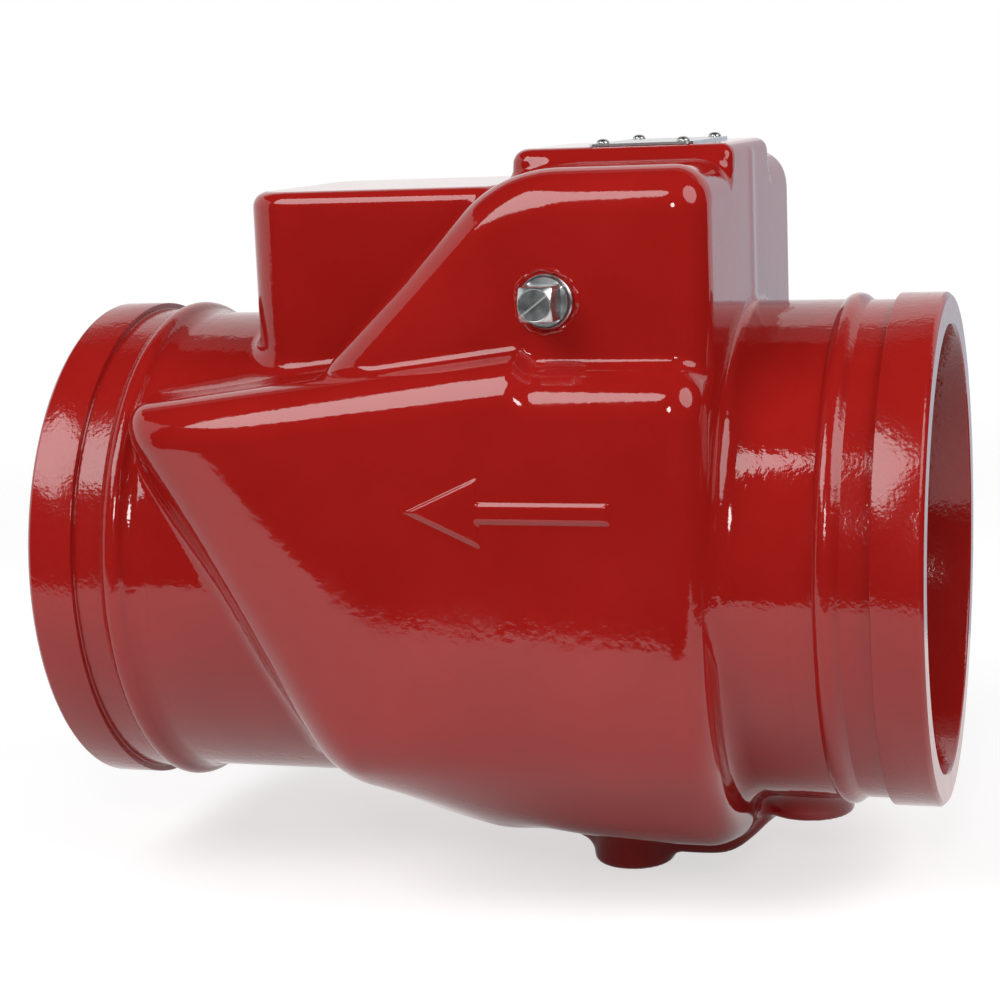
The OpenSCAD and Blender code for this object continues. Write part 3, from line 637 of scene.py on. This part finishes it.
dress("clapper_bolt", faced_stainless)
dress("bolt_seal", rubber)
dress("lock_washer", stainless)
dress("clapper_nut", stainless)


# ---- Hinge pin and spring sleeves -------------------------------------------------------
# The pin is ground stainless bar, held endwise by the plugs in the cheeks. The bronze
# sleeves slip over it on both sides of the hub.

dress("hinge_pin", stainless)
dress("spring_sleeves", bronze)


# ---- Closing springs --------------------------------------------------------------------
# Two torsion springs of stainless wire, wound round the sleeves. The outer leg lies under
# the cheek's roof and the inner leg presses on the arm's lug, so the coil winds up as the
# clapper opens.

hinge = np.array((-hinge_s, 0.0, hinge_z))
wire_r = 1.4
coil_r = 10.8
coil_turns = 4
coil_outer_y = 37.95
coil_inner_y = 20.55
roof_leg_turn = math.radians(330)
roof_z = 28.95
lug_leg = 40.0


def tube_faces(rings, sides):
    """Faces between rings of points, with both ends closed."""
    faces = [list(range(sides))[::-1]]
    for i in range(rings - 1):
        for k in range(sides):
            m = (k + 1) % sides
            faces.append([i * sides + k, i * sides + m, (i + 1) * sides + m, (i + 1) * sides + k])
    last = (rings - 1) * sides
    faces.append(list(range(last, last + sides)))
    return faces


def swept_wire(path, radius, sides=16):
    """Round wire along a path of points, with closed ends."""
    path = np.array(path)
    run = np.gradient(path, axis=0)
    run /= np.linalg.norm(run, axis=1)[:, None]
    side = np.cross(run[0], (0.0, 1.0, 0.0))
    points = []
    for point, ahead in zip(path, run):
        side = side - ahead * (side @ ahead)
        side /= np.linalg.norm(side)
        up = np.cross(ahead, side)
        for k in range(sides):
            turn = 2 * math.pi * k / sides
            points.append(point + radius * (math.cos(turn) * side + math.sin(turn) * up))
    return np.array(points), tube_faces(len(path), sides)


def spring_line():
    """Middle of the wire from the roof leg through the coil to the lug leg, about the hinge."""
    cos_leg, sin_leg = math.cos(roof_leg_turn), math.sin(roof_leg_turn)
    lean = np.array((sin_leg, 0, -cos_leg))
    start = np.array((coil_r * cos_leg, 0, coil_r * sin_leg))
    roof_leg = (roof_z - start[2]) / -lean[2]
    leg_in = [
        start - lean * roof_leg * t + (0, coil_outer_y, 0) for t in np.linspace(1, 0.04, 14)]
    coil = []
    for t in np.linspace(0, 1, 240):
        a = math.radians(330 + 360 * coil_turns) * (1 - t)
        y = coil_outer_y + (coil_inner_y - coil_outer_y) * t
        coil.append(np.array((coil_r * math.cos(a), y, coil_r * math.sin(a))))
    leg_out = [
        np.array((coil_r, coil_inner_y, -lug_leg * t)) for t in np.linspace(0.03, 1, 14)]
    return leg_in + coil + leg_out


for spring, side in (("spring_near", -1), ("spring_far", 1)):
    wire, wire_faces = swept_wire(spring_line(), wire_r)
    wire[:, 1] *= side
    if side < 0:
        wire_faces = [f[::-1] for f in wire_faces]
    coil_piece = mesh_piece(spring + "_coil", (wire + hinge) / 1000, wire_faces, sharp=50)
    coil_piece.data.materials.append(stainless)
    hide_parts(spring)
    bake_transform(coil_piece)


# ---- Hinge plugs ------------------------------------------------------------------------
# Bright steel plugs screwed into both cheeks over the pin's ends: threaded shank, round
# collar and a square head whose face is turned flat with chamfered corners.

plug_r = 8.55
thread_pitch = 1.41
thread_top = 1.2
collar_r = 8.15
collar_h = 2.6
head_w = 10.6
head_top = 13.6
scribe_turn = math.radians(37)


def scribed_steel():
    """Turned steel: rings about the plug's axis, a scribed centre line and a dull zinc bloom."""
    material, tree, skin = new_finish("scribed_steel", metallic=1.0)
    bloom = grain(tree, 330, 3)
    tone = two_tone(tree, bloom, 0.3, (0.44, 0.47, 0.48), 0.7, (0.66, 0.68, 0.68))
    centred = mapped(tree, (-hinge[0] / 1000, 0, -hinge[2] / 1000), (1, 0, 1))
    rings = lathe_rings(tree, length_of(tree, centred), 2600)
    off_line = tree.nodes.new("ShaderNodeVectorMath")
    off_line.operation = "DOT_PRODUCT"
    off_line.inputs[1].default_value = (-math.sin(scribe_turn), 0, math.cos(scribe_turn))
    tree.links.new(centred, off_line.inputs[0])
    distance = reckon(tree, "ABSOLUTE", off_line.outputs["Value"])
    scribe = spread(tree, distance, 0.0003, 0.0001)
    bright = tree.nodes.new("ShaderNodeMix")
    bright.data_type = "RGBA"
    tree.links.new(scribe, bright.inputs["Factor"])
    tree.links.new(tone, bright.inputs["A"])
    bright.inputs["B"].default_value = (0.95, 0.95, 0.94, 1)
    cut = reckon(tree, "MULTIPLY_ADD", scribe, 3.0, rings)
    lay_on(tree, skin, bright.outputs["Result"], spread(tree, bloom, 0, 1, 0.24, 0.42),
           raised(tree, cut, 0.35, 0.00005))
    return material


def plug_rings(turns=96):
    """Rings of the plug from its inner end to the middle of the square head's face."""
    around = np.linspace(0, 2 * math.pi, turns, endpoint=False)

    def round_ring(h, r):
        return h, np.full(turns, r)

    rings = [round_ring(-11.0, 7.4), round_ring(-10.3, plug_r), round_ring(-1.4, plug_r)]
    for h in np.linspace(-thread_top, thread_top, 24):
        phase = (h / thread_pitch - around / (2 * math.pi)) % 1
        flank = np.clip(1.25 * np.abs(2 * phase - 1) - 0.1, 0, 1)
        rings.append((h, np.minimum(plug_r - 0.6 * flank, plug_r - 0.8 * (h - 0.8))))
    for t in np.linspace(0.05, 1, 26):
        rolled = 0.17 * math.sin(8.5 * math.pi * t)
        rings.append(round_ring(
            thread_top + (collar_h - thread_top) * t ** 0.8 - rolled, collar_r - 0.65 * t))
    square = np.minimum(
        head_w / 2 / np.maximum(np.abs(np.cos(around)), np.abs(np.sin(around))), 7.3)
    rings += [(collar_h, square + 0.2), (collar_h + 0.3, square)]
    for drop in (2.3, 2.0, 1.7, 1.4, 1.1, 0.8, 0.5, 0.25, 0.08, 0.0):
        rings.append((head_top - drop, np.minimum(square, 5.1 + drop * 1.02)))
    rings.append(round_ring(head_top, 4.9))
    rings += [round_ring(head_top - 0.05, r) for r in (4.8, 2.4, 0.3)]
    points = np.array([
        (r * math.cos(a), h, r * math.sin(a)) for h, radii in rings for a, r in zip(around, radii)])
    return points, tube_faces(len(rings), turns)


def paint_rim(turns=120, sides=12):
    """Lumpy lip of enamel that was broken when the plug went in."""
    points = []
    for k in range(turns):
        a = 2 * math.pi * k / turns
        wave = math.sin(3 * a + 0.7) + 0.8 * math.sin(7 * a + 2.1) + 0.7 * math.sin(13 * a + 4.4)
        rise = math.sin(5 * a + 1.3) + 0.9 * math.sin(11 * a + 0.4) + 0.6 * math.sin(19 * a + 2.6)
        major = 9.7 + 0.16 * wave
        minor = 0.62 + 0.15 * rise
        for j in range(sides):
            b = 2 * math.pi * j / sides
            radius = major + 1.15 * minor * math.cos(b)
            points.append((radius * math.cos(a), -0.2 + minor * math.sin(b), radius * math.sin(a)))
    return np.array(points), ring_faces(turns, sides)


steel = scribed_steel()
for side_name, side in (("near", -1), ("far", 1)):
    for piece_name, (points, faces), finish, slot in (
            ("square_plug_" + side_name, plug_rings(), steel, "zinc_steel"),
            ("paint_rim_" + side_name, paint_rim(), enamel, "enamel")):
        points = points * (1, side, 1) + hinge + (0, side * cheek_y, 0)
        if side > 0:
            faces = [f[::-1] for f in faces]
        piece = mesh_piece(piece_name, points / 1000, faces, sharp=26)
        piece.data.materials.append(finish)
        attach(piece, "valve_body")
        if slot == "zinc_steel":
            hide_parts("plug_" + side_name)


# ---- Bottom plugs -----------------------------------------------------------------------
# Socket plugs close the drain boss and the inlet tapping. They are turned steel, screwed
# in until they stand inside the bosses.

dress("drain_plug", stainless)
dress("tapping_plug", stainless)


# ---- Name plate and drive screws --------------------------------------------------------
# Plain rolled aluminium plate on the raised pad, held by four domed drive screws that
# are driven into the casting.


def rolled_aluminium():
    material, tree, skin = new_finish("rolled_aluminium", metallic=1.0)
    rolling = grain(tree, 1.0, 4, at=mapped(tree, (0, 0, 0), (40, 900, 40)))
    tone = two_tone(tree, rolling, 0.3, (0.62, 0.625, 0.63), 0.7, (0.78, 0.785, 0.79))
    lay_on(tree, skin, tone, 0.32, raised(tree, rolling, 0.15, 0.00003))
    return material


dress("name_plate", rolled_aluminium())
dress("drive_screws", stainless)


# ---- Studio: floor, cards, light and camera ---------------------------------------------
# The valve stands on a plain white floor in soft light. Cards that only its gloss shows
# stand round it, as in a studio: black flags keep the flanks a deep red, and two cool
# cards behind it give the end wall its grey.

floor_z = -0.1121
flag_z = floor_z + 0.001
room_x = 3.0
room_front = -1.6
room_right = 1.6
room_top = 2.2
flag_black = (0.002, 0.002, 0.002)
cool_white = (0.62, 0.74, 0.82, 1)


def level(z, *corners):
    """Corners of a card that lies flat at a height."""
    return [(x, y, z) for x, y in corners]


def card(name, corners, colour, hidden=True):
    """Flat matt card; a hidden one shows in gloss alone."""
    mesh = bpy.data.meshes.new(name)
    mesh.from_pydata(corners, [], [tuple(range(len(corners)))])
    thing = bpy.data.objects.new(name, mesh)
    bpy.context.scene.collection.objects.link(thing)
    material = bpy.data.materials.new(name + "_paint")
    tree, skin = tree_of(material)
    skin.inputs["Base Color"].default_value = (*colour, 1)
    skin.inputs["Roughness"].default_value = 0.95
    skin.inputs["Specular IOR Level"].default_value = 0.0
    mesh.materials.append(material)
    if hidden:
        thing.visible_camera = False
        thing.visible_diffuse = False
        thing.visible_shadow = False
    return tree, skin


def fade_out(tree, skin, middle, reach, low, high, densest=1.0):
    """Thins a card from its middle outwards, to nothing at its reach in x and y."""
    shift = (-middle[0] / reach[0], -middle[1] / reach[1], 0)
    from_middle = mapped(tree, shift, (1 / reach[0], 1 / reach[1], 0))
    ball = tree.nodes.new("ShaderNodeTexGradient")
    ball.gradient_type = "SPHERICAL"
    tree.links.new(from_middle, ball.inputs["Vector"])
    alpha = spread(tree, ball.outputs["Fac"], low, high, 0.0, densest, smooth=True)
    tree.links.new(alpha, skin.inputs["Alpha"])


def seen(tree):
    """1 where something is looked at, straight, in gloss or through glass, and 0 for its light."""
    path = tree.nodes.new("ShaderNodeLightPath")
    straight = reckon(
        tree, "MAXIMUM", path.outputs["Is Camera Ray"], path.outputs["Is Glossy Ray"])
    return reckon(tree, "MAXIMUM", straight, path.outputs["Is Transmission Ray"])


tree, skin = card(
    "floor", level(floor_z, (-1.6, -1.6), (1.3, -1.6), (1.3, 1.6), (-1.6, 1.6)),
    (0.55, 0.55, 0.55), hidden=False)
skin.inputs["Emission Color"].default_value = (1, 1, 1, 1)
tree.links.new(reckon(tree, "MULTIPLY", seen(tree), 0.62), skin.inputs["Emission Strength"])
fade_out(tree, skin, (-0.146, 0), (1.3, 1.3), 0.1, 0.55)

card("front_flag",
     level(flag_z, (-room_x, -1.088), (0.5, -0.353), (0.5, room_front), (-room_x, room_front)),
     flag_black)
card("back_flag",
     [(-room_x, room_front, floor_z), (room_x, room_front, floor_z),
      (room_x, room_front, room_top), (-room_x, room_front, room_top)],
     flag_black)
card("right_flag",
     [(room_right, room_front, floor_z), (room_right, 1.3, floor_z),
      (room_right, 1.3, room_top), (room_right, room_front, room_top)],
     flag_black)
card("right_floor_flag",
     level(flag_z, (0.4, room_front), (room_right, room_front), (room_right, 1.3), (0.25, 0.5),
           (0.28, 0.23), (0.39, 0.02), (0.385, -0.22), (0.4, -0.37)),
     flag_black)
for name, front, back, colour in (
        ("roof_flag", room_front, 1.1, flag_black), ("roof_shade", 1.1, 1.9, (0.5, 0.5, 0.5))):
    card(name, level(room_top, (-room_x, front), (room_x, front), (room_x, back),
                     (-room_x, back)), colour)
for name, corners in (
        ("cool_card",
         [(-0.1, 1.6, floor_z), (0.9, 1.6, floor_z), (0.9, 1.6, 0.6), (-0.1, 1.6, 0.6)]),
        ("cool_floor_card",
         level(floor_z + 0.0008, (-0.1, 0.35), (0.9, 0.35), (0.9, 1.6), (-0.1, 1.6)))):
    tree, skin = card(name, corners, (0, 0, 0))
    skin.inputs["Emission Color"].default_value = cool_white
    skin.inputs["Emission Strength"].default_value = 1.0
# Painted shadow: a dark card under the valve, seen in gloss alone, stands in for the floor's shade
# beneath the belly, fading out from the middle.
tree, skin = card(
    "painted_floor_shadow", level(flag_z, (-0.26, -0.12), (0.03, -0.12), (0.03, 0.12), (-0.26, 0.12)),
    flag_black)
fade_out(tree, skin, (-0.1, -0.03), (0.115, 0.085), 0.0, 0.9, densest=0.8)

world = bpy.data.worlds.new("studio")
bpy.context.scene.world = world
world.use_nodes = True
tree = world.node_tree
sky = tree.nodes["Background"]
sky.inputs["Color"].default_value = (1, 1, 1, 1)
tree.links.new(spread(tree, seen(tree), 0, 1, 0.37, 1.0), sky.inputs["Strength"])

for lamp_name, outline, spot, aim, wide, deep, power, roll in (
        ("key_softbox", "RECTANGLE",
         (-0.65, -0.86, 0.92), (-0.15, -0.05, 0.03), 0.72, 0.68, 9.2, 15),
        ("end_softbox", "ELLIPSE", (1.05, -0.45, 0.95), (-0.1, 0, 0.03), 1.05, 1.05, 11, 0),
        ("flash", "ELLIPSE", (0.02, -0.80, 0.33), (-0.14, -0.05, 0.03), 0.16, 0.16, 1.2, 0)):
    lamp = bpy.data.lights.new(lamp_name, "AREA")
    lamp.shape = outline
    lamp.size = wide
    lamp.size_y = deep
    lamp.energy = power
    holder = bpy.data.objects.new(lamp_name, lamp)
    bpy.context.scene.collection.objects.link(holder)
    holder.location = spot
    facing = (Vector(aim) - Vector(spot)).to_track_quat("-Z", "Y").to_matrix()
    holder.rotation_euler = (facing @ Matrix.Rotation(math.radians(-roll), 3, "Z")).to_euler()

eye = bpy.data.cameras.new("photo_camera")
eye.sensor_width = 36
eye.sensor_fit = "HORIZONTAL"
eye.lens = 84.8075
eye.clip_start = 0.01
eye.clip_end = 50
camera = bpy.data.objects.new("photo_camera", eye)
bpy.context.scene.collection.objects.link(camera)
stand = (0.074861, -0.769033, 0.152213)
right = (0.9597151, 0.2782496, -0.0390391)
up = (-0.0101312, 0.1731203, 0.9848486)
ahead = (-0.2807922, 0.9447786, -0.1689652)
camera.matrix_world = Matrix((
    *((right[k], up[k], -ahead[k], stand[k]) for k in range(3)), (0, 0, 0, 1)))
bpy.context.scene.camera = camera
bpy.context.scene.view_settings.view_transform = "Standard"
